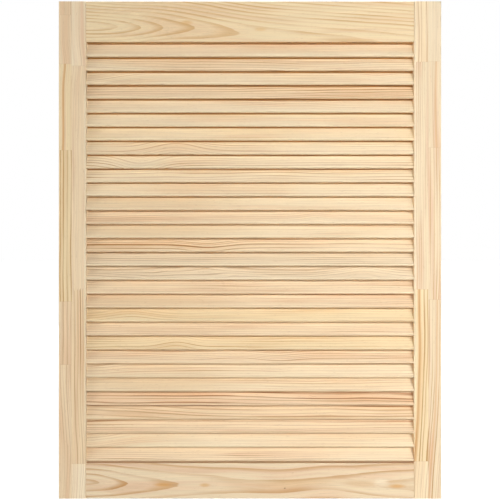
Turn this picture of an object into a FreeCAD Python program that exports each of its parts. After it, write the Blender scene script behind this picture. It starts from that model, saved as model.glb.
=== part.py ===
import FreeCAD, Part
import math
import os

# Louvred pine door, one leaf for a cupboard or wardrobe.
#
# Two stiles run the full height. A top and a bottom rail stand between them on stub tenons. The
# opening is filled with fixed slats, bullnosed on both long edges and leaning back at the top, so
# that each one laps over the next. The ends of a slat are housed in slots milled at the same slant
# into the inner edges of the stiles, and the top slat's upper edge runs in a groove under the top
# rail.
#
# The origin is the centre of the hinge edge, which is the outer edge of the left stile. +X runs
# across the leaf to the free edge, +Y from the front face to the back face, and +Z up.
# All sizes are in millimetres and degrees.

# Leaf
DOOR_WIDTH = 594.0
DOOR_HEIGHT = 772.0
DOOR_THICKNESS = 20.0

# Stiles and rails
STILE_WIDTH = 42.5
TOP_RAIL_HEIGHT = 63.0
BOTTOM_RAIL_HEIGHT = 55.0
INNER_ARRIS = 2.0  # rounding of the stiles' edges beside the slats
OUTER_ARRIS = 1.0  # rounding of the stiles' edges at the outside
RAIL_ARRIS = 1.0  # rounding of the rails' long edges

# Stub tenons
TENON_LENGTH = 20.0
TENON_THICKNESS = 8.0
TENON_SHOULDER = 9.0  # from the rail's edge to the tenon, above and below

# Slats
SLAT_THICKNESS = 6.0
SLAT_TILT = 30.0  # lean from the vertical
SLAT_SETBACK = 1.5  # from each face of the leaf to the slats
SLAT_PITCH = 21.7  # wanted height from slat to slat, evened out over the opening
SLAT_HOUSING = 10.0  # depth of a slot in a stile
TOP_SLAT_DROP = 23.0  # from the top rail down to the top slat's lower edge
BOTTOM_SLAT_GAP = 1.7  # from the bottom slat down to the bottom rail

# Fits
JOINT_CLEARANCE = 0.15  # round a slat in its slot, and round a tenon in its mortise
END_CLEARANCE = 0.3  # at the bottom of a slot or mortise
CUTTER_OVERRUN = 5.0  # how far a cutting tool runs out past a face

# What follows from the sizes above
HALF_HEIGHT = DOOR_HEIGHT / 2
HALF_THICKNESS = DOOR_THICKNESS / 2
OPENING_TOP = HALF_HEIGHT - TOP_RAIL_HEIGHT
OPENING_BOTTOM = -HALF_HEIGHT + BOTTOM_RAIL_HEIGHT
OPENING_LEFT = STILE_WIDTH
OPENING_RIGHT = DOOR_WIDTH - STILE_WIDTH

SLAT_RADIUS = SLAT_THICKNESS / 2
TILT = math.radians(SLAT_TILT)
UP_THE_SLAT = FreeCAD.Vector(0, math.sin(TILT), math.cos(TILT))
OUT_OF_THE_SLAT = FreeCAD.Vector(0, -math.cos(TILT), math.sin(TILT))
# Half the distance between the centres of a slat's two round edges, which fills the thickness
SLAT_REACH = (HALF_THICKNESS - SLAT_SETBACK - SLAT_RADIUS) / math.sin(TILT)
SLAT_HALF_RISE = SLAT_REACH * math.cos(TILT) + SLAT_RADIUS

TOP_SLAT_MIDDLE = OPENING_TOP - TOP_SLAT_DROP + SLAT_HALF_RISE
BOTTOM_SLAT_MIDDLE = OPENING_BOTTOM + BOTTOM_SLAT_GAP + SLAT_HALF_RISE
SLAT_STEPS = round((TOP_SLAT_MIDDLE - BOTTOM_SLAT_MIDDLE) / SLAT_PITCH)
SLAT_STEP = (TOP_SLAT_MIDDLE - BOTTOM_SLAT_MIDDLE) / SLAT_STEPS
SLAT_MIDDLES = [TOP_SLAT_MIDDLE - number * SLAT_STEP for number in range(SLAT_STEPS + 1)]


def block(low, high):
    """A plain block between two opposite corners."""
    size = [high[axis] - low[axis] for axis in range(3)]
    return Part.makeBox(*size, FreeCAD.Vector(*low))


def ease(bar, radius, chosen):
    """The bar with the edges that chosen picks, by their middle points, rounded to that radius."""
    edges = [edge for edge in bar.Edges if chosen(edge.CenterOfMass)]
    return bar.makeFillet(radius, edges)


def slat_bar(middle, radius, left, right):
    """A bar of the slats' stadium section with round edges of that radius, from left to right."""
    centre = FreeCAD.Vector(left, 0, middle)
    low = centre - UP_THE_SLAT * SLAT_REACH
    high = centre + UP_THE_SLAT * SLAT_REACH
    face_offset = OUT_OF_THE_SLAT * radius
    tip_offset = UP_THE_SLAT * radius
    outline = Part.Wire(
        [
            Part.LineSegment(low + face_offset, high + face_offset).toShape(),
            Part.Arc(high + face_offset, high + tip_offset, high - face_offset).toShape(),
            Part.LineSegment(high - face_offset, low - face_offset).toShape(),
            Part.Arc(low - face_offset, low - tip_offset, low + face_offset).toShape(),
        ]
    )
    return Part.Face(outline).extrude(FreeCAD.Vector(right - left, 0, 0))


def slat(middle):
    """One slat, with its ends in the slots of both stiles."""
    grip = SLAT_HOUSING - END_CLEARANCE
    return slat_bar(middle, SLAT_RADIUS, OPENING_LEFT - grip, OPENING_RIGHT + grip)


def slat_slot(middle, left, right):
    """The room that a slat needs in the piece that houses it."""
    return slat_bar(middle, SLAT_RADIUS + JOINT_CLEARANCE, left, right)


def tenon(bottom, top, clearance, end_clearance):
    """The bar through a rail that forms the tenons at its two ends, or cuts the mortises for them."""
    reach = TENON_LENGTH + end_clearance
    half = TENON_THICKNESS / 2 + clearance
    low = (OPENING_LEFT - reach, -half, bottom + TENON_SHOULDER - clearance)
    high = (OPENING_RIGHT + reach, half, top - TENON_SHOULDER + clearance)
    return block(low, high)


def stile(outer, inner):
    """A full-height stile between its outer and inner edges, mortised for the rails and slats."""
    low = (min(outer, inner), -HALF_THICKNESS, -HALF_HEIGHT)
    high = (max(outer, inner), HALF_THICKNESS, HALF_HEIGHT)
    is_upright = lambda middle: abs(middle.z) < HALF_HEIGHT / 2
    is_inner = lambda middle: abs(middle.x - inner) < STILE_WIDTH / 2
    bar = block(low, high)
    bar = ease(bar, INNER_ARRIS, lambda middle: is_upright(middle) and is_inner(middle))
    bar = ease(bar, OUTER_ARRIS, lambda middle: is_upright(middle) and abs(middle.x - outer) < OUTER_ARRIS)

    into_stile = math.copysign(1, outer - inner)
    slot_ends = sorted([inner + into_stile * SLAT_HOUSING, inner - into_stile * CUTTER_OVERRUN])
    cutters = [slat_slot(middle, *slot_ends) for middle in SLAT_MIDDLES]
    cutters.append(tenon(OPENING_TOP, HALF_HEIGHT, JOINT_CLEARANCE, END_CLEARANCE))
    cutters.append(tenon(-HALF_HEIGHT, OPENING_BOTTOM, JOINT_CLEARANCE, END_CLEARANCE))
    return bar.cut(cutters)


def rail(bottom, top):
    """A rail between the stiles, with a stub tenon at each end."""
    low = (OPENING_LEFT, -HALF_THICKNESS, bottom)
    high = (OPENING_RIGHT, HALF_THICKNESS, top)
    bar = ease(block(low, high), RAIL_ARRIS, lambda middle: OPENING_LEFT < middle.x < OPENING_RIGHT)
    return bar.fuse(tenon(bottom, top, 0, 0)).removeSplitter()


def top_rail():
    """The top rail, grooved underneath for the top slat's upper edge."""
    groove = slat_slot(
        TOP_SLAT_MIDDLE, OPENING_LEFT - CUTTER_OVERRUN, OPENING_RIGHT + CUTTER_OVERRUN
    )
    return rail(OPENING_TOP, HALF_HEIGHT).cut(groove)


def bottom_rail():
    """The bottom rail, square on top under the lowest slat."""
    return rail(-HALF_HEIGHT, OPENING_BOTTOM)


def build():
    """Every piece of the leaf, by name. The slats are numbered from the top."""
    pieces = {
        "left_stile": stile(0, OPENING_LEFT),
        "right_stile": stile(DOOR_WIDTH, OPENING_RIGHT),
        "top_rail": top_rail(),
        "bottom_rail": bottom_rail(),
    }
    for number, middle in enumerate(SLAT_MIDDLES, start=1):
        pieces[f"slat_{number:02d}"] = slat(middle)
    return pieces


def main():
    os.makedirs("parts", exist_ok=True)
    for name, shape in build().items():
        solid = shape.Solids[0]
        solid.exportStep(os.path.join("parts", f"{name}.step"))
        print(f"{name}: {len(shape.Solids)} solid, valid {solid.isValid()}, {solid.Volume / 1000:.1f} cm3")
    print(f"slats {len(SLAT_MIDDLES)}, step {SLAT_STEP:.3f}, width {2 * (SLAT_REACH + SLAT_RADIUS):.2f}")
    print(f"clear gap between slats {SLAT_STEP * math.sin(TILT) - SLAT_THICKNESS:.2f}")


main()
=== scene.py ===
import logging
import math
from collections.abc import Sequence
from dataclasses import dataclass, fields, replace
from enum import Enum
from typing import Any, TypeVar

import bpy
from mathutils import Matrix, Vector


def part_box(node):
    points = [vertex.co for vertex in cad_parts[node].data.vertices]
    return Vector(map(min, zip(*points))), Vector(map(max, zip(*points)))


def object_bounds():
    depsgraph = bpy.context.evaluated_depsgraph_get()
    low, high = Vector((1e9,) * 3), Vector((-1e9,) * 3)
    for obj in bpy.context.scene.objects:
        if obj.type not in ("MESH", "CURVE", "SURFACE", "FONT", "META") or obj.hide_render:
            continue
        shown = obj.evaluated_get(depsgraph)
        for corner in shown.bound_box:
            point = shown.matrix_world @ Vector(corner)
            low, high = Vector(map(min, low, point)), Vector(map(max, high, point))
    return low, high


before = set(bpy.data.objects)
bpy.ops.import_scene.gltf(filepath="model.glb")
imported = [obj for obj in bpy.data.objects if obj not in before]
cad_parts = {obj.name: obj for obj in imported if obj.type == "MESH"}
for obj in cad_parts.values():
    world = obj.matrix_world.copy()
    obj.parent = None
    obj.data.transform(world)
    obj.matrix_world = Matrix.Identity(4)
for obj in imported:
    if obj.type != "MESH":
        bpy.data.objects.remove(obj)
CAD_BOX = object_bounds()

# Louvred pine door, one leaf for a cupboard, dressed in planed and sanded pine and set up in a
# white studio. Sizes of the leaf are in millimetres and those of the studio in metres. Along is
# with the grain of a board, across is over its face, and depth is through it from the front face
# to the back face. All three are measured from the middle of the piece.

LOG = logging.getLogger("louvred_door")
MM = 1000.0  # millimetres in a metre
SLAT_TILT = math.radians(30.0)  # lean of the slats from the vertical
WHITE = "#FFFFFF"

Value = float | bpy.types.NodeSocket
Hue = str | bpy.types.NodeSocket


def linear(colour: str) -> tuple[float, float, float, float]:
    """Turns an sRGB hex colour into the linear colour that a shader takes.

    Args:
        colour: Six hex digits after a hash.

    Returns:
        Red, green and blue as linear light, and full opacity.
    """
    parts = [int(colour[start:start + 2], 16) / 255 for start in (1, 3, 5)]
    light = [part / 12.92 if part <= 0.04045 else ((part + 0.055) / 1.055) ** 2.4 for part in parts]
    return (*light, 1.0)


class Net:
    """The node tree of one material, or of the world."""

    def __init__(self, owner: bpy.types.Material | bpy.types.World) -> None:
        """Empties the node tree of its owner.

        Args:
            owner: What the nodes belong to.
        """
        owner.use_nodes = True
        self.tree = owner.node_tree
        self.tree.nodes.clear()

    def add(self, kind: str, inputs: dict[int | str, Any], output: int | str = 0,
            **settings: Any) -> Any:
        """Adds a node with its settings and links.

        Args:
            kind: Blender's name for the kind of node, without its leading ShaderNode.
            inputs: What goes into each socket: another node's socket, a hex colour or a value.
            output: The socket that is handed on.
            settings: Properties of the node itself.

        Returns:
            The output socket, or None for a node that ends the tree.
        """
        node = self.tree.nodes.new("ShaderNode" + kind)
        for name, setting in settings.items():
            setattr(node, name, setting)
        for socket, value in inputs.items():
            if isinstance(value, bpy.types.NodeSocket):
                self.tree.links.new(value, node.inputs[socket])
            else:
                value = linear(value) if isinstance(value, str) else value
                node.inputs[socket].default_value = value
        return node.outputs[output] if node.outputs else None


@dataclass(frozen=True)
class Shade:
    """The colours of one board.

    Attributes:
        early: The pale spring growth.
        late: The darker lines of summer growth.
        blush: The patches that cloud the spring growth.
        resin: Streaks soaked with resin.
    """

    early: Hue
    late: Hue
    blush: Hue
    resin: Hue = "#D39A5E"


class Tone(Enum):
    """The tones that pine boards of one batch come in."""

    LINEN = Shade("#F7E4C4", "#C49A72", "#F2DAB8", "#DDAE86")
    CREAM = Shade("#F2DEBB", "#C4986A", "#EED4AE")
    STRAW = Shade("#F0D9B0", "#CF9F62", "#EBCDA4")
    ROSY = Shade("#F0D8B4", "#BE9066", "#E9C9A3")
    WHEAT = Shade("#EFD8AE", "#C1935A", "#E8CC9F")
    HONEY = Shade("#EFD6B0", "#B27C48", "#E6C59C")
    RUSSET = Shade("#EED2AE", "#A86E40", "#E4BF97")
    BISCUIT = Shade("#EBD6B4", "#C4935C", "#E4C4A2")
    GREY = Shade("#EDD9B8", "#B08A62", "#E5CEAC")


@dataclass(frozen=True)
class Swell:
    """A place where the grain bends round something in the log.

    Attributes:
        at: Where it is, along the board.
        length: How far it reaches each way.
        rise: How far it pushes the grain across the face.
        sink: How far it pushes the grain into the board.
    """

    at: float
    length: float
    rise: float
    sink: float = 0.0


@dataclass(frozen=True)
class Mark:
    """A patch of resin, a blush or a pin knot on a board, or a painted highlight.

    Attributes:
        at: Where it is, along the board.
        across: Where it is, across the board.
        length: How far it reaches each way along the board.
        width: How far it reaches each way across the board.
        colour: Its colour.
        strength: How much of it shows.
    """

    at: float
    across: float
    length: float
    width: float
    colour: str
    strength: float


@dataclass(frozen=True)
class Cut:
    """Where a board lay in its log and how the log grew.

    Attributes:
        heart_across: Where the middle of the log passes the board, across it.
        heart_depth: Where it passes, through the board.
        lean_across: How far that line leans across for each millimetre along.
        lean_depth: How far it leans into the board.
        bow_depth: How the lean into the board grows along it.
        ring: Thickness of a year's growth.
        late: Share of it that is summer growth.
        contrast: How much the summer growth shows.
        wander: How far the rings stray.
        uneven: How much the years differ in thickness.
        streak: How much a streak of resin along the board shows.
        streak_across: Where that streak is, across the board.
        streak_width: How far it reaches each way.
        seed: Tells one board's chances from another's.
    """

    heart_across: Value = -70.0
    heart_depth: Value = 25.0
    lean_across: Value = 0.0
    lean_depth: Value = 0.0
    bow_depth: Value = 0.0
    ring: Value = 3.2
    late: Value = 0.42
    contrast: Value = 0.5
    wander: Value = 2.0
    uneven: Value = 1.6
    streak: Value = 0.0
    streak_across: Value = 0.0
    streak_width: Value = 1.5
    seed: Value = 0.0


class Figure(Enum):
    """How the grain looks on the face of a slat."""

    PLAIN = Cut(ring=3.2, late=0.36, contrast=0.75, wander=1.5)
    FINE = Cut(ring=3.4, late=0.36, contrast=1.2)
    MEDIUM = Cut(ring=4.4, late=0.34, contrast=1.6)
    BOLD = Cut(ring=5.2, contrast=2.2, heart_across=-55.0)
    FLAME = Cut(ring=4.6, late=0.38, contrast=1.3, wander=6.0, heart_depth=40.0)


Choice = TypeVar("Choice", Cut, Shade)


@dataclass(frozen=True)
class Axes:
    """The directions that run along, across and through a piece."""

    along: tuple[float, float, float]
    across: tuple[float, float, float]
    depth: tuple[float, float, float]


class Lie(Enum):
    """How a piece stands in the leaf."""

    UPRIGHT = Axes((0, 0, 1), (1, 0, 0), (0, 1, 0))
    LEVEL = Axes((1, 0, 0), (0, 0, 1), (0, 1, 0))
    SLANTED = Axes((1, 0, 0), (0, math.sin(SLAT_TILT), math.cos(SLAT_TILT)),
                   (0, math.cos(SLAT_TILT), -math.sin(SLAT_TILT)))


@dataclass(frozen=True)
class Place:
    """The sockets that say where a point of a piece is, and which way its surface faces."""

    along: Any
    across: Any
    depth: Any
    faces_along: Any
    faces_across: Any
    faces_depth: Any


@dataclass(frozen=True)
class PaintedShade:
    """Painted shade: a browner tint on hidden parts and on edges that face down or left.

    Attributes:
        start: Where it begins, across the piece. None if it is only the edge.
        edge: How much painted shade the edge gets that faces down, or to the left.
        blend: Over how far across the piece the painted shade grows from none to full.
    """

    start: float | None = None
    edge: float = 0.0
    blend: float = 3.0


@dataclass(frozen=True)
class Board:
    """Stock in one piece.

    Attributes:
        cut: Where it lay in its log.
        tone: Its colours.
        swells: Where its grain bends.
        marks: The patches on it.
        rough: Where shade is painted on it.
    """

    cut: Cut
    tone: Tone
    swells: tuple[Swell, ...] = ()
    marks: tuple[Mark, ...] = ()
    rough: PaintedShade = PaintedShade()

    def lay(self, net: Net, place: Place) -> tuple[Cut, Shade, Any]:
        """Gives the board's cut and colours, with no glue line in it."""
        return self.cut, self.tone.value, None


class Teeth(Enum):
    """Where the fingers of a joint show, as the way that they are counted."""

    ON_EDGE = "depth"
    ON_FACE = "across"


@dataclass(frozen=True)
class Length:
    """One length of wood in a finger-jointed strip.

    Attributes:
        top: How far below the top of the stile it begins.
        cut: Where it lay in its log.
        tone: Its colours.
        teeth: Where the fingers at its top show.
    """

    top: float
    cut: Cut
    tone: Tone
    teeth: Teeth = Teeth.ON_EDGE


@dataclass(frozen=True)
class GluedStock:
    """Stock glued up from two strips side by side, each of short lengths finger-jointed end to end.

    Attributes:
        left: The lengths of the left strip, from the top.
        right: The lengths of the right strip, from the top.
        glue_line: Where the strips meet, across the stock.
        swells: Where the grain bends.
        marks: The patches on it.
        rough: Where shade is painted on it.
        half_height: Half the height of the stile.
        half_depth: Half the thickness of the stile.
        finger: Length of a finger.
        finger_pitch: From one finger to the next.
        seam: Width of a glue line, drawn about three times as wide as a real one so that it shows.
    """

    left: tuple[Length, ...]
    right: tuple[Length, ...]
    glue_line: float
    swells: tuple[Swell, ...]
    marks: tuple[Mark, ...]
    rough: PaintedShade = PaintedShade()
    half_height: float = 386.0
    half_depth: float = 10.0
    finger: float = 5.0
    finger_pitch: float = 3.8
    seam: float = 0.35

    def lay(self, net: Net, place: Place) -> tuple[Cut, Shade, Any]:
        """Finds out which length of wood a point is in.

        Args:
            net: The material's nodes.
            place: Where the point is.

        Returns:
            The cut and the colours of that length, and whether the point is in a glue line.
        """
        side = net.add("Math", {0: place.across, 1: self.glue_line}, operation="GREATER_THAN")
        seam = net.add("Math", {0: place.across, 1: self.glue_line, 2: self.seam / 2},
                       operation="COMPARE")
        slope = 2 * self.finger / self.finger_pitch
        cuts, shades, joints = [], [], []
        for strip in (self.left, self.right):
            steps, joint = [], 0.0
            for length in strip[1:]:
                way = getattr(place, length.teeth.value)
                wave = net.add("Math", {0: way, 1: self.half_depth}, operation="ADD")
                wave = net.add("Math", {0: wave, 1: self.finger_pitch / 2}, operation="PINGPONG")
                drop = net.add("Math", {0: wave, 1: slope, 2: length.top - self.half_height},
                               operation="MULTIPLY_ADD")
                below = net.add("Math", {0: drop, 1: place.along}, operation="ADD")
                steps.append(net.add("Math", {0: below, 1: 0.0}, operation="LESS_THAN"))
                line = net.add("Math", {0: below, 1: 0.0, 2: self.seam}, operation="COMPARE")
                joint = net.add("Math", {0: joint, 1: line}, operation="MAXIMUM")
            cuts.append(self.pick(net, [length.cut for length in strip], steps))
            shades.append(self.pick(net, [length.tone.value for length in strip], steps))
            joints.append(joint)
        joint = net.add("Mix", {"Factor": side, 2: joints[0], 3: joints[1]})
        seam = net.add("Math", {0: seam, 1: joint}, operation="MAXIMUM")
        return self.pick(net, cuts, [side]), self.pick(net, shades, [side]), seam

    def pick(self, net: Net, options: Sequence[Choice], steps: Sequence[Any]) -> Choice:
        """Takes each value from the option that a point is in.

        Args:
            net: The material's nodes.
            options: The options, in order.
            steps: For each option after the first, whether the point has come to it.

        Returns:
            One option whose values are sockets.
        """
        picked = {}
        for entry in fields(options[0]):
            value, *others = [getattr(option, entry.name) for option in options]
            for other, step in zip(others, steps):
                if isinstance(options[0], Shade):
                    value = net.add("Mix", {"Factor": step, 6: value, 7: other}, 2,
                                    data_type="RGBA")
                else:
                    value = net.add("Mix", {"Factor": step, 2: value, 3: other})
            picked[entry.name] = value
        return replace(options[0], **picked)


Stock = Board | GluedStock


# Bare pine, cut by planer knives and sanded along the grain. It looks pale and matt, with fine
# streaks and short dark flecks, and the hard summer growth catches a little more light.
@dataclass(frozen=True)
class PlanedPine:
    """Pine, planed and sanded, with no finish on it.

    Attributes:
        wander_along: Length of the slow waves in the grain.
        wander_across: Width of the slow waves in the grain.
        wander_reach: How many times its own wander a board's grain can stray in all.
        fibre_along: Length of the finest streaks.
        fibre_across: Width of the finest streaks, drawn coarser than real fibres so that they show.
        fibre_range: The chances between which a streak goes from dark to pale.
        fibre_shade: How much darker or paler a streak is.
        fibre_relief: Height of a streak, as a share of the summer growth's.
        canal_along: Length of the resin canals, which are short dark flecks.
        canal_across: Width of the resin canals, drawn about twice as wide as real ones to show.
        canal_range: The chances between which a canal opens.
        canal_colour: Colour of a resin canal.
        canal_strength: How much of it shows.
        fade_along: Length of the places where the rings grow faint.
        fade_across: Width of the places where the rings grow faint.
        fade_range: The chances between which rings go from faint to full.
        fade_least: How much of a faint ring is left.
        cloud_along: Length of the patches of blush.
        cloud_across: Width of the patches of blush.
        cloud_range: The chances between which a patch goes from none to full.
        feather_along: Length of the ragged bits on a ring's edge.
        feather_across: Width of the ragged bits on a ring's edge.
        feather: How far they reach, in years.
        weather: How soon good and bad years change, for each year.
        summer_full: When in the year the summer growth is at its darkest.
        summer_end: When in the year it breaks off.
        year_least: How much the summer growth of the faintest year shows.
        mark_core: Share of a mark or a resin streak that is at full strength.
        shade_turn: How squarely an edge faces down or left where painted shade begins and is full.
        shade_tint: The colour that multiplies the wood where shade is painted.
        arris_colour: Colour of the edges that sanding broke, which is also a painted highlight.
        arris_strength: How much of it shows.
        end_turn: How squarely a face looks along the grain where end grain begins and is full.
        end_shade: How much light end grain gives back.
        end_roughness: How much rougher end grain is.
        glue_colour: Colour of a glue line.
        glue_strength: How much of it shows.
        roughness: Of the spring growth.
        gloss: How much smoother the summer growth is.
        relief: Height of the summer growth over the spring growth.
        relief_strength: How much of that height shows.
        ior: Of wood fibre.
        specular: Mirrored light, half as much as off a closed surface, because the sanded pores
            swallow the rest.
    """

    wander_along: float = 170.0
    wander_across: float = 26.0
    wander_reach: float = 4.0
    fibre_along: float = 80.0
    fibre_across: float = 1.1
    fibre_range: tuple[float, float] = (0.3, 0.7)
    fibre_shade: float = 0.07
    fibre_relief: float = 0.8
    canal_along: float = 7.0
    canal_across: float = 0.45
    canal_range: tuple[float, float] = (0.70, 0.82)
    canal_colour: str = "#A87C50"
    canal_strength: float = 0.35
    fade_along: float = 150.0
    fade_across: float = 14.0
    fade_range: tuple[float, float] = (0.35, 0.62)
    fade_least: float = 0.4
    cloud_along: float = 210.0
    cloud_across: float = 13.0
    cloud_range: tuple[float, float] = (0.42, 0.68)
    feather_along: float = 45.0
    feather_across: float = 3.0
    feather: float = 0.15
    weather: float = 0.37
    summer_full: float = 0.93
    summer_end: float = 0.95
    year_least: float = 0.3
    mark_core: float = 0.2
    shade_turn: tuple[float, float] = (-0.55, -0.85)
    shade_tint: str = "#D8AF79"
    arris_colour: str = "#F4E2C0"
    arris_strength: float = 1.6
    end_turn: tuple[float, float] = (0.6, 0.9)
    end_shade: float = 0.78
    end_roughness: float = 0.2
    glue_colour: str = "#B08A5C"
    glue_strength: float = 0.16
    roughness: float = 0.62
    gloss: float = 0.12
    relief: float = 0.05
    relief_strength: float = 0.6
    ior: float = 1.5
    specular: float = 0.25

    def material(self, name: str, node: str, lie: Lie, stock: Stock) -> bpy.types.Material:
        """Makes the material of one piece.

        Args:
            name: The material's name.
            node: The CAD node that it goes on.
            lie: How the piece stands.
            stock: What it is made from.

        Returns:
            The material.
        """
        material = bpy.data.materials.new(name)
        net = Net(material)
        place = self.place(net, node, lie.value)
        cut, shade, seam = stock.lay(net, place)
        flow = self.flow(net, place, cut, stock.swells)
        late = self.rings(net, flow, cut)
        colour = self.colour(net, flow, late, cut, shade, stock.marks)
        # Shade is painted on hidden parts and on edges that face down or left.
        colour = self.paint_shade(net, place, colour, stock.rough)
        colour, rough, height = self.surface(net, place, flow, late, cut, colour, seam)
        bump = net.add("Bump", {"Strength": self.relief_strength, "Distance": self.relief / MM,
                                "Height": height})
        skin = net.add("BsdfPrincipled", {
            "Base Color": colour, "Roughness": rough, "IOR": self.ior,
            "Specular IOR Level": self.specular, "Normal": bump})
        net.add("OutputMaterial", {0: skin})
        return material

    def place(self, net: Net, node: str, axes: Axes) -> Place:
        """Measures where a point of a piece is from the middle of the piece.

        Args:
            net: The material's nodes.
            node: The CAD node.
            axes: How it stands.

        Returns:
            The place.
        """
        low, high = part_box(node)
        point = net.add("TexCoord", {}, "Object")
        normal = point.node.outputs["Normal"]
        point = net.add("VectorMath", {0: point, 1: (MM,) * 3, 2: -(low + high) / 2 * MM},
                        operation="MULTIPLY_ADD")
        parts = [net.add("VectorMath", {0: vector, 1: axis}, "Value", operation="DOT_PRODUCT")
                 for vector in (point, normal) for axis in (axes.along, axes.across, axes.depth)]
        return Place(*parts)

    def chance(self, net: Net, point: Any, along: float, across: float, seed: Value, detail: float,
               output: int | str = 0, roughness: float = 0.5) -> Any:
        """Lays chance through a board, drawn out along the grain.

        Args:
            net: The material's nodes.
            point: The place in the board.
            along: Length of what it draws.
            across: Width of what it draws.
            seed: Tells one board's chances from another's.
            detail: How many finer layers lie in it.
            output: The socket that is handed on.
            roughness: How strong the finer layers are.

        Returns:
            The chance at the point, round one half.
        """
        point = net.add("Mapping", {0: point, 3: (1 / along, 1 / across, 1 / across)})
        return net.add("TexNoise", {
            "Vector": point, "W": seed, "Scale": 1.0, "Detail": detail, "Roughness": roughness},
            output, noise_dimensions="4D")

    def flow(self, net: Net, place: Place, cut: Cut, swells: tuple[Swell, ...]) -> Any:
        """Straightens the grain: the place that a point would have in wood with no bends.

        Args:
            net: The material's nodes.
            place: Where the point is.
            cut: Where the board lay in its log.
            swells: Where its grain bends.

        Returns:
            That place along, across and through the board.
        """
        point = net.add("CombineXYZ", {0: place.along, 1: place.across, 2: place.depth})
        waves = self.chance(net, point, self.wander_along, self.wander_across, cut.seed, 2.0,
                            "Color", 0.45)
        waves = net.add("VectorMath", {0: waves, 1: (0.5, 0.5, 0.5)}, operation="SUBTRACT")
        waves = net.add("VectorMath", {0: waves, 1: (0.0, self.wander_reach, self.wander_reach)},
                        operation="MULTIPLY")
        waves = net.add("VectorMath", {0: waves, "Scale": cut.wander}, operation="SCALE")
        flow = net.add("VectorMath", {0: point, 1: waves}, operation="ADD")
        for swell in swells:
            away = net.add("Math", {0: place.along, 1: 1 / swell.length,
                                    2: -swell.at / swell.length}, operation="MULTIPLY_ADD")
            away = net.add("Math", {0: away, 1: 2.0}, operation="POWER")
            away = net.add("Math", {0: away, 1: -1.0}, operation="MULTIPLY")
            push = net.add("Math", {0: away}, operation="EXPONENT")
            push = net.add("VectorMath", {0: (0.0, swell.rise, swell.sink), "Scale": push},
                           operation="SCALE")
            flow = net.add("VectorMath", {0: flow, 1: push}, operation="SUBTRACT")
        return flow

    def rings(self, net: Net, flow: Any, cut: Cut) -> Any:
        """Lays the growth rings through a board.

        Args:
            net: The material's nodes.
            flow: The place in straightened grain.
            cut: Where the board lay in its log.

        Returns:
            How much summer growth there is.
        """
        along, across, depth = net.add("SeparateXYZ", {0: flow}).node.outputs
        lean_depth = net.add("Math", {0: along, 1: cut.bow_depth, 2: cut.lean_depth},
                             operation="MULTIPLY_ADD")
        reach = []
        for part, middle, lean in ((across, cut.heart_across, cut.lean_across),
                                   (depth, cut.heart_depth, lean_depth)):
            heart = net.add("Math", {0: along, 1: lean, 2: middle}, operation="MULTIPLY_ADD")
            reach.append(net.add("Math", {0: part, 1: heart}, operation="SUBTRACT"))
        radius = net.add("CombineXYZ", {0: reach[0], 1: reach[1]})
        radius = net.add("VectorMath", {0: radius}, "Value", operation="LENGTH")

        # Years are counted from the heart. Some are thicker than others, with ragged edges.
        years = net.add("Math", {0: radius, 1: cut.ring}, operation="DIVIDE")
        weather = net.add("Math", {0: years, 1: self.weather, 2: cut.seed},
                          operation="MULTIPLY_ADD")
        weather = net.add("TexNoise", {"W": weather, "Scale": 1.0, "Detail": 1.0},
                          noise_dimensions="1D")
        years = net.add("Math", {0: weather, 1: cut.uneven, 2: years}, operation="MULTIPLY_ADD")
        feather = self.chance(net, flow, self.feather_along, self.feather_across, cut.seed, 2.0)
        years = net.add("Math", {0: feather, 1: self.feather, 2: years}, operation="MULTIPLY_ADD")

        # Within a year the wood darkens slowly through summer and turns pale at once in spring.
        season = net.add("Math", {0: years}, operation="FRACT")
        onset = net.add("Math", {0: 1.0, 1: cut.late}, operation="SUBTRACT")
        summer = net.add("MapRange", {0: season, 1: onset, 2: self.summer_full},
                         interpolation_type="SMOOTHSTEP")
        winter = net.add("MapRange", {0: season, 1: 1.0, 2: self.summer_end},
                         interpolation_type="SMOOTHSTEP")
        late = net.add("Math", {0: summer, 1: winter}, operation="MULTIPLY")

        # Not every year is as dark, and each fades in places.
        year = net.add("Math", {0: years}, operation="FLOOR")
        vigour = net.add("Math", {0: year, 1: cut.seed}, operation="ADD")
        vigour = net.add("TexWhiteNoise", {"W": vigour}, noise_dimensions="1D")
        vigour = net.add("MapRange", {0: vigour, 3: self.year_least, 4: 1.0})
        late = net.add("Math", {0: late, 1: vigour}, operation="MULTIPLY")
        fade = self.chance(net, flow, self.fade_along, self.fade_across, cut.seed, 1.0)
        fade = net.add("MapRange", {0: fade, 1: self.fade_range[0], 2: self.fade_range[1],
                                    3: self.fade_least, 4: 1.0}, interpolation_type="SMOOTHSTEP")
        return net.add("Math", {0: late, 1: fade}, operation="MULTIPLY")

    def colour(self, net: Net, flow: Any, late: Any, cut: Cut, shade: Shade,
               marks: tuple[Mark, ...]) -> Any:
        """Colours the inside of a board.

        Args:
            net: The material's nodes.
            flow: The place in straightened grain.
            late: How much summer growth there is.
            cut: Where the board lay in its log.
            shade: Its colours.
            marks: The patches on it.

        Returns:
            The colour.
        """
        cloud = self.chance(net, flow, self.cloud_along, self.cloud_across, cut.seed, 2.0)
        cloud = net.add("MapRange", {0: cloud, 1: self.cloud_range[0], 2: self.cloud_range[1]},
                        interpolation_type="SMOOTHSTEP")
        colour = net.add("Mix", {"Factor": cloud, 6: shade.early, 7: shade.blush}, 2,
                         data_type="RGBA")
        strength = net.add("Math", {0: late, 1: cut.contrast}, operation="MULTIPLY")
        colour = net.add("Mix", {"Factor": strength, 6: colour, 7: shade.late}, 2, data_type="RGBA")

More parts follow.
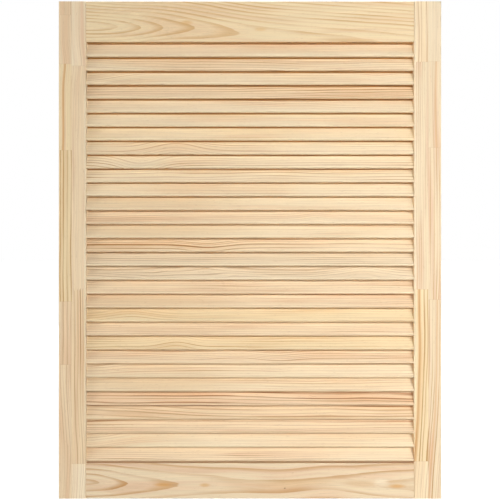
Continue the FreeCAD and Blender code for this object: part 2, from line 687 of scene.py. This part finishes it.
        patches = []
        if cut.streak:
            across = net.add("SeparateXYZ", {0: flow}, 1)
            away = net.add("Math", {0: across, 1: cut.streak_across}, operation="SUBTRACT")
            away = net.add("Math", {0: away, 1: cut.streak_width}, operation="DIVIDE")
            away = net.add("Math", {0: away}, operation="ABSOLUTE")
            patches.append((away, cut.streak, shade.resin))
        for mark in marks:
            away = net.add("VectorMath", {0: flow, 1: (mark.at, mark.across, 0.0)},
                           operation="SUBTRACT")
            away = net.add("VectorMath", {0: away, 1: (1 / mark.length, 1 / mark.width, 0.0)},
                           operation="MULTIPLY")
            away = net.add("VectorMath", {0: away}, "Value", operation="LENGTH")
            patches.append((away, mark.strength, mark.colour))
        for away, strength, stain in patches:
            soak = net.add("MapRange", {0: away, 1: 1.0, 2: self.mark_core, 4: strength},
                           interpolation_type="SMOOTHSTEP")
            colour = net.add("Mix", {"Factor": soak, 6: colour, 7: stain}, 2, data_type="RGBA")
        return colour

    def paint_shade(self, net: Net, place: Place, colour: Any, rough: PaintedShade) -> Any:
        """Paints shade, browner and darker, where a board is hidden or faces down or to the left.

        Args:
            net: The material's nodes.
            place: Where a point is.
            colour: The colour of the wood.
            rough: Where the shade is painted.

        Returns:
            The colour.
        """
        # Painted shade: browner where the surface faces down or left, and where the part is hidden.
        brown = net.add("MapRange", {0: place.faces_across, 1: self.shade_turn[0],
                                     2: self.shade_turn[1], 4: rough.edge},
                        interpolation_type="SMOOTHSTEP")
        if rough.start is not None:
            high = net.add("MapRange", {0: place.across, 1: rough.start,
                                        2: rough.start + rough.blend},
                           interpolation_type="SMOOTHSTEP")
            brown = net.add("Math", {0: high, 1: brown}, operation="MAXIMUM")
        return net.add("Mix", {"Factor": brown, 6: colour, 7: self.shade_tint}, 2,
                       data_type="RGBA", blend_type="MULTIPLY")

    def surface(self, net: Net, place: Place, flow: Any, late: Any, cut: Cut, colour: Any,
                seam: Any) -> tuple[Any, Any, Any]:
        """Gives a board its sanded surface.

        Args:
            net: The material's nodes.
            place: Where a point is and which way it faces.
            flow: The place in straightened grain.
            late: How much summer growth there is.
            cut: Where the board lay in its log.
            colour: The colour of the wood.
            seam: Whether the point is in a glue line, or None for a board in one piece.

        Returns:
            The colour, the roughness and the height of the surface.
        """
        fibre = self.chance(net, flow, self.fibre_along, self.fibre_across, cut.seed, 3.0)
        streak = net.add("MapRange", {0: fibre, 1: self.fibre_range[0], 2: self.fibre_range[1],
                                      3: 1.0 - self.fibre_shade, 4: 1.0 + self.fibre_shade})
        colour = net.add("VectorMath", {0: colour, "Scale": streak}, operation="SCALE")
        canal = self.chance(net, flow, self.canal_along, self.canal_across, cut.seed, 0.0)
        canal = net.add("MapRange", {0: canal, 1: self.canal_range[0], 2: self.canal_range[1],
                                     4: self.canal_strength}, interpolation_type="SMOOTHSTEP")
        colour = net.add("Mix", {"Factor": canal, 6: colour, 7: self.canal_colour}, 2,
                         data_type="RGBA")

        # Sanding broke the edges, which are a little paler than the faces. As the paleness
        # follows the way the surface faces, it is also a painted highlight on the rounded edges.
        square = net.add("Math", {0: place.faces_depth, 1: 2.0}, operation="POWER")
        rest = net.add("Math", {0: 1.0, 1: square}, operation="SUBTRACT")
        arris = net.add("Math", {0: square, 1: rest}, operation="MULTIPLY")
        paler = net.add("Math", {0: arris, 1: self.arris_strength}, operation="MULTIPLY")
        colour = net.add("Mix", {"Factor": paler, 6: colour, 7: self.arris_colour}, 2,
                         data_type="RGBA")

        # End grain drinks in the light: darker and rougher.
        end = net.add("Math", {0: place.faces_along}, operation="ABSOLUTE")
        end = net.add("MapRange", {0: end, 1: self.end_turn[0], 2: self.end_turn[1]},
                      interpolation_type="SMOOTHSTEP")
        darker = net.add("MapRange", {0: end, 3: 1.0, 4: self.end_shade})
        colour = net.add("VectorMath", {0: colour, "Scale": darker}, operation="SCALE")
        if seam:
            glue = net.add("Math", {0: seam, 1: self.glue_strength}, operation="MULTIPLY")
            colour = net.add("Mix", {"Factor": glue, 6: colour, 7: self.glue_colour}, 2,
                             data_type="RGBA")

        rough = net.add("Math", {0: late, 1: -self.gloss, 2: self.roughness},
                        operation="MULTIPLY_ADD")
        rough = net.add("Math", {0: end, 1: self.end_roughness, 2: rough},
                        operation="MULTIPLY_ADD")
        height = net.add("Math", {0: fibre, 1: self.fibre_relief, 2: late},
                         operation="MULTIPLY_ADD")
        return colour, rough, height


def wear(node: str, finish: PlanedPine, lie: Lie, stock: Stock) -> None:
    """Dresses a CAD node.

    Args:
        node: The node's name.
        finish: What its surface is.
        lie: How it stands.
        stock: What it is made from.
    """
    material = finish.material(f"planed_pine_{node}", node, lie, stock)
    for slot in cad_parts[node].material_slots:
        slot.material = material
    LOG.info("%s wears %s", node, material.name)


@dataclass
class Stiles:
    """The two uprights, each glued up from an outer and an inner strip.

    Attributes:
        half_width: Half the width of a stile.
        outer_strip: Width of the strip along the outer edge.
        endless: Length of a mark that runs past both ends of a stile.
        pale_edge: Colour of a painted highlight along the inner edges, on their rounding.
    """

    half_width: float = 21.25
    outer_strip: float = 20.0
    endless: float = 3000.0
    pale_edge: str = "#F8EACC"

    def left(self) -> GluedStock:
        """Glues up the left stile.

        Returns:
            Its stock.
        """
        return GluedStock(
            left=(
                Length(0, Cut(contrast=0.6, heart_across=-80, seed=1), Tone.ROSY),
                Length(21, Cut(contrast=0.5, heart_across=-80, seed=2), Tone.ROSY),
                Length(97, Cut(contrast=0.5, ring=4, streak=0.7, streak_across=-14.5,
                               streak_width=2.2, seed=3), Tone.STRAW),
                Length(231, Cut(contrast=2.3, ring=4.8, late=0.45, heart_across=60, seed=4),
                       Tone.WHEAT),
                Length(466, Cut(contrast=1.2, ring=4.0, heart_across=60, seed=5), Tone.ROSY),
                Length(564, Cut(contrast=1.0, ring=3.0, heart_across=60, seed=6), Tone.ROSY),
            ),
            right=(
                Length(0, Cut(contrast=0.5, ring=5.0, heart_across=90, streak=0.4,
                              streak_across=14, streak_width=4, seed=7), Tone.LINEN),
                Length(100, Cut(contrast=0.6, ring=3.4, heart_across=90, seed=8), Tone.ROSY),
                Length(445, Cut(contrast=1.4, ring=5.0, late=0.4, heart_across=-60, seed=9),
                       Tone.HONEY, Teeth.ON_FACE),
                Length(718, Cut(contrast=0.8, ring=3.6, heart_across=-60, seed=10), Tone.LINEN),
            ),
            glue_line=self.outer_strip - self.half_width,
            swells=(Swell(289, 24, 3.0), Swell(-330, 60, 5.0)),
            # A painted highlight runs along the inner edge.
            marks=(Mark(0, 20.2, self.endless, 3.2, self.pale_edge, 0.6),),
        )

    def right(self) -> GluedStock:
        """Glues up the right stile.

        Returns:
            Its stock.
        """
        return GluedStock(
            left=(
                Length(0, Cut(contrast=1.4, ring=6.0, heart_across=-70, seed=11), Tone.CREAM),
                Length(94, Cut(contrast=1.0, ring=2.8, heart_across=-70, seed=12), Tone.BISCUIT),
                Length(447, Cut(contrast=2.4, ring=6.0, late=0.5, heart_across=70, streak=0.6,
                                streak_across=-12.5, streak_width=4, seed=13), Tone.WHEAT),
                Length(714, Cut(contrast=1.0, ring=4.0, heart_across=70, seed=14), Tone.CREAM),
            ),
            right=(
                Length(0, Cut(contrast=0.4, seed=15), Tone.GREY),
                Length(93, Cut(contrast=0.6, streak=0.4, streak_across=13, streak_width=3,
                               seed=16), Tone.BISCUIT),
                Length(227, Cut(contrast=1.1, ring=4.8, seed=17), Tone.BISCUIT),
                Length(463, Cut(contrast=1.3, ring=5, streak=0.45, streak_across=14,
                                streak_width=2.5, seed=18), Tone.BISCUIT),
            ),
            glue_line=self.half_width - self.outer_strip,
            swells=(Swell(-420, 130, -13.0),),
            # A painted highlight runs along the inner edge.
            marks=(Mark(0, -19.6, self.endless, 3.2, self.pale_edge, 0.5),),
            # Shade is painted on the inner edge, which faces left, between the slats.
            rough=PaintedShade(edge=0.35),
        )

    def dress(self, finish: PlanedPine) -> None:
        """Dresses both stiles."""
        wear("left_stile", finish, Lie.UPRIGHT, self.left())
        wear("right_stile", finish, Lie.UPRIGHT, self.right())


@dataclass
class Rails:
    """The rails, flat-sawn near the heart, so that the rings stand in nested points.

    Attributes:
        top: Stock of the top rail.
        bottom: Stock of the bottom rail.
    """

    top: Board = Board(
        Cut(heart_across=-22, heart_depth=20.3, lean_across=-0.06, lean_depth=0.02, ring=4.4,
            late=0.6, contrast=0.9, wander=1.5, uneven=0.3, seed=3),
        Tone.STRAW,
        swells=(Swell(-260, 130, 0, -17), Swell(-110, 80, 7)),
        marks=(Mark(-98, -8, 13, 5, "#DDAC66", 0.5), Mark(16, -12, 14, 4, "#E3B878", 0.5)),
        # Shade is painted on the underside of the top rail, over the slats.
        rough=PaintedShade(edge=0.4),
    )
    bottom: Board = Board(
        Cut(heart_across=-5, heart_depth=18.4, lean_depth=0.0222, bow_depth=-0.000222, ring=8,
            late=0.5, contrast=1.0, uneven=0.3, seed=5),
        Tone.BISCUIT,
        swells=(Swell(-250, 50, 3, -4.5), Swell(120, 40, 3), Swell(40, 30, -2),
                Swell(200, 40, 0, -2)),
        marks=(
            Mark(-135, -6, 20, 4, "#D79E56", 0.7),
            Mark(-70, -7, 12, 4, "#D8A564", 0.6),
            Mark(54, -9, 2, 1.6, "#8A5A34", 0.8),
            Mark(75, -4, 75, 8, "#DDBB8E", 0.5),
            Mark(172, -5, 48, 9, "#D6B084", 0.6),
            Mark(204, -2, 16, 9, "#F2E2C6", 0.6),
            Mark(228, -7.5, 18, 5, "#D9A25E", 0.7),
        ),
        # Shade is painted on the top edge of the bottom rail, under the lowest slat.
        rough=PaintedShade(27.25, blend=0.4),
    )

    def dress(self, finish: PlanedPine) -> None:
        """Dresses both rails."""
        wear("top_rail", finish, Lie.LEVEL, self.top)
        wear("bottom_rail", finish, Lie.LEVEL, self.bottom)


@dataclass
class Louvre:
    """The slats, from the top, each ripped from some board of the batch.

    Attributes:
        sanded: How far up from a slat's middle the painted shade begins, at the top of the louvre.
        sanded_step: How much further up it begins on each slat below.
        sanded_first: Where it begins on the first slat, which has no slat over it.
        rough_edge: How much painted shade the underside of a slat's lower edge gets.
        seed: Tells the slats' chances from those of the other pieces.
        seed_step: Tells one slat's chances from the next one's.
    """

    sanded: float = 5.4
    sanded_step: float = 0.1
    sanded_first: float = 7.3
    rough_edge: float = 0.2
    seed: float = 20.0
    seed_step: float = 3.7

    def boards(self) -> list[Board]:
        """Chooses a board for each slat.

        Returns:
            The boards, from the top.
        """
        plain, fine, medium, bold, flame = (figure.value for figure in Figure)
        _, cream, straw, rosy, wheat, honey, russet, _, grey = Tone
        pale_left = Mark(-150, 0, 190, 30, "#F4E0BE", 0.5)
        pale_right = replace(pale_left, at=150)
        brown_left = replace(pale_left, colour="#E0C298")
        return [
            Board(plain, cream, marks=(pale_left,)),
            Board(replace(fine, contrast=1.7), cream, (Swell(-260, 60, 4), Swell(93, 60, -3))),
            Board(plain, cream, (Swell(-255, 60, -14), Swell(201, 25, -3))),
            Board(replace(fine, contrast=2.0, lean_across=0.012), honey, marks=(pale_left,)),
            Board(replace(plain, contrast=1.2), cream, (Swell(77, 50, -3),), (pale_left,)),
            Board(plain, cream),
            Board(plain, straw, marks=(pale_left, pale_right)),
            Board(medium, cream, (Swell(-117, 48, 14),)),
            Board(medium, cream, (Swell(-171, 38, -16),), (pale_right,)),
            Board(medium, cream, (Swell(40, 60, 3),)),
            Board(replace(plain, contrast=1.1), cream),
            Board(plain, cream, marks=(brown_left,)),
            Board(fine, rosy, (Swell(101, 22, 4),), (pale_right,)),
            Board(plain, cream, marks=(brown_left,)),
            Board(replace(bold, ring=4.0, contrast=1.7), honey, (Swell(-67, 40, -7),),
                  (pale_right,)),
            Board(fine, grey),
            Board(replace(flame, contrast=0.8), grey, (Swell(178, 40, 8),)),
            Board(fine, rosy),
            Board(fine, rosy, marks=(brown_left,)),
            Board(replace(medium, contrast=1.2), wheat, (Swell(-186, 45, 9),)),
            Board(replace(plain, contrast=1.2), rosy),
            Board(replace(medium, contrast=1.2), wheat, (Swell(-116, 30, 8),)),
            Board(replace(fine, contrast=2.0), rosy, (Swell(38, 40, -4),)),
            Board(replace(fine, contrast=1.7), cream, (Swell(-255, 50, -6),)),
            Board(replace(medium, contrast=2.2), cream, marks=(brown_left,)),
            Board(replace(bold, lean_across=-0.01, contrast=2.6), russet),
            Board(replace(bold, contrast=1.5), honey, (Swell(-255, 140, 10),)),
            Board(replace(fine, contrast=1.5), rosy),
            Board(replace(plain, contrast=0.6), cream, (Swell(-255, 60, -12),)),
            Board(fine, rosy, marks=(pale_right,)),
        ]

    def dress(self, finish: PlanedPine) -> None:
        """Dresses every slat, with its own chances in the grain.

        Args:
            finish: What its surface is.
        """
        for number, board in enumerate(self.boards(), start=1):
            # Shade is painted on the hidden upper part of each slat and under its lower edge.
            sanded = self.sanded + self.sanded_step * number
            rough = PaintedShade(self.sanded_first if number == 1 else sanded, self.rough_edge)
            cut = replace(board.cut, seed=self.seed + self.seed_step * number)
            board = replace(board, cut=cut, rough=rough)
            wear(f"slat_{number:02d}", finish, Lie.SLANTED, board)


@dataclass(frozen=True)
class Lamp:
    """A soft lamp that faces the leaf.

    Attributes:
        name: Its name.
        away: Where it is from the middle of the leaf.
        width: Of its face.
        height: Of its face.
        power: In watts.
        aim: Where it points, to the right of the middle of the leaf.
        spread: How wide its beam is, in degrees.
    """

    name: str
    away: tuple[float, float, float]
    width: float
    height: float
    power: float
    aim: float = 0.0
    spread: float = 180.0


@dataclass
class Studio:
    """A white floor, soft lamps and the camera, all in metres round the leaf.

    Attributes:
        camera_distance: From the front face of the leaf to the camera.
        frame_height: What the camera takes in at the front face.
        sensor: Width of the camera's sensor, in millimetres.
        floor_side: Half the side of the floor.
        floor_colour: Of its paint, so dim that it throws little light on the leaf.
        floor_roughness: Of its paint.
        floor_glow: How bright the floor is to the eye without any lamp.
        ambient: Light from all round.
        lamps: The lamps. The back lamps hang too low to shine through the louvre, and the top lamp
            is no deeper than the leaf, so that it lights the top edge alone.
    """

    camera_distance: float = 1.375
    frame_height: float = 0.7762
    sensor: float = 36.0
    floor_side: float = 30.0
    floor_colour: str = "#8C8C8A"
    floor_roughness: float = 0.8
    floor_glow: float = 0.9
    ambient: float = 0.01
    lamps: tuple[Lamp, ...] = (
        Lamp("key", (2.15, -2.7, 0.7), 2.4, 0.6, 17.0, 1.1, 60.0),
        Lamp("left", (-4.6, -1.75, 0.5), 0.5, 0.5, 120.0),
        Lamp("front", (0.0, -3.0, 0.2), 2.0, 2.0, 18.4),
        Lamp("back_left", (-1.8, 2.6, -0.25), 1.6, 0.4, 36.0),
        Lamp("back_right", (1.8, 2.6, -0.25), 1.6, 0.4, 36.0),
        Lamp("top", (0.0, 0.0, 1.3), 0.59, 0.018, 1.1, 0.0, 60.0),
    )

    def build(self) -> None:
        """Sets up the floor, the background, the lamps and the camera."""
        low, high = CAD_BOX
        middle = (low + high) / 2
        self.floor(low.z)
        self.background()
        for lamp in self.lamps:
            self.hang(lamp, middle)
        self.camera(Vector((middle.x, low.y - self.camera_distance, middle.z)))

    def seen(self, net: Net) -> Any:
        """Tells whether the eye looks at a thing, straight, in a reflection or through glass.

        Args:
            net: The thing's nodes.

        Returns:
            One if it does, and nought if the thing only lights another.
        """
        path = net.add("LightPath", {}).node.outputs
        seen = net.add("Math", {0: path["Is Camera Ray"], 1: path["Is Glossy Ray"]},
                       operation="ADD")
        return net.add("Math", {0: seen, 1: path["Is Transmission Ray"]}, operation="ADD",
                       use_clamp=True)

    def floor(self, ground: float) -> None:
        """Lays a matt painted floor that looks white and keeps the shadow of the leaf.

        Args:
            ground: Its height.
        """
        mesh = bpy.data.meshes.new("floor")
        corners = [(x * self.floor_side, y * self.floor_side, ground)
                   for x, y in ((-1, -1), (1, -1), (1, 1), (-1, 1))]
        mesh.from_pydata(corners, [], [(0, 1, 2, 3)])
        floor = bpy.data.objects.new("floor", mesh)
        bpy.context.scene.collection.objects.link(floor)
        material = bpy.data.materials.new("white_floor")
        net = Net(material)
        glow = net.add("Math", {0: self.seen(net), 1: self.floor_glow}, operation="MULTIPLY")
        skin = net.add("BsdfPrincipled", {
            "Base Color": self.floor_colour, "Roughness": self.floor_roughness,
            "Emission Color": WHITE, "Emission Strength": glow})
        net.add("OutputMaterial", {0: skin})
        material.cycles.emission_sampling = "NONE"  # it glows for the eye only, so it is no lamp
        mesh.materials.append(material)

    def background(self) -> None:
        """Makes the world white to look at and a dim even light on the leaf."""
        world = bpy.data.worlds.new("studio")
        bpy.context.scene.world = world
        net = Net(world)
        strength = net.add("Mix", {"Factor": self.seen(net), 2: self.ambient, 3: 1.0})
        shine = net.add("Background", {"Color": WHITE, "Strength": strength})
        net.add("OutputWorld", {0: shine})
        world.cycles.sampling_method = "NONE"  # it is even, so it has no bright place to find

    def hang(self, lamp: Lamp, middle: Vector) -> None:
        """Hangs a lamp.

        Args:
            lamp: The lamp.
            middle: The middle of the leaf.
        """
        light = bpy.data.lights.new(lamp.name, "AREA")
        light.shape = "RECTANGLE"
        light.size = lamp.width
        light.size_y = lamp.height
        light.energy = lamp.power
        light.spread = math.radians(lamp.spread)
        fitting = bpy.data.objects.new(lamp.name, light)
        fitting.location = middle + Vector(lamp.away)
        beam = Vector((lamp.aim, 0.0, 0.0)) - Vector(lamp.away)
        fitting.rotation_euler = beam.to_track_quat("-Z", "Y").to_euler()
        bpy.context.scene.collection.objects.link(fitting)

    def camera(self, stand: Vector) -> None:
        """Puts the camera square in front of the leaf.

        Args:
            stand: Where it stands.
        """
        lens = bpy.data.cameras.new("camera")
        lens.sensor_width = self.sensor
        lens.lens = self.sensor * self.camera_distance / self.frame_height
        camera = bpy.data.objects.new("camera", lens)
        camera.location = stand
        camera.rotation_euler = (math.pi / 2, 0.0, 0.0)
        bpy.context.scene.collection.objects.link(camera)
        bpy.context.scene.camera = camera
        bpy.context.scene.view_settings.view_transform = "Standard"


def main() -> None:
    """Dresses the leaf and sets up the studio."""
    logging.basicConfig(level=logging.INFO, format="%(name)s: %(message)s")
    finish = PlanedPine()
    Stiles().dress(finish)
    Rails().dress(finish)
    Louvre().dress(finish)
    Studio().build()


if __name__ == "__main__":
    main()
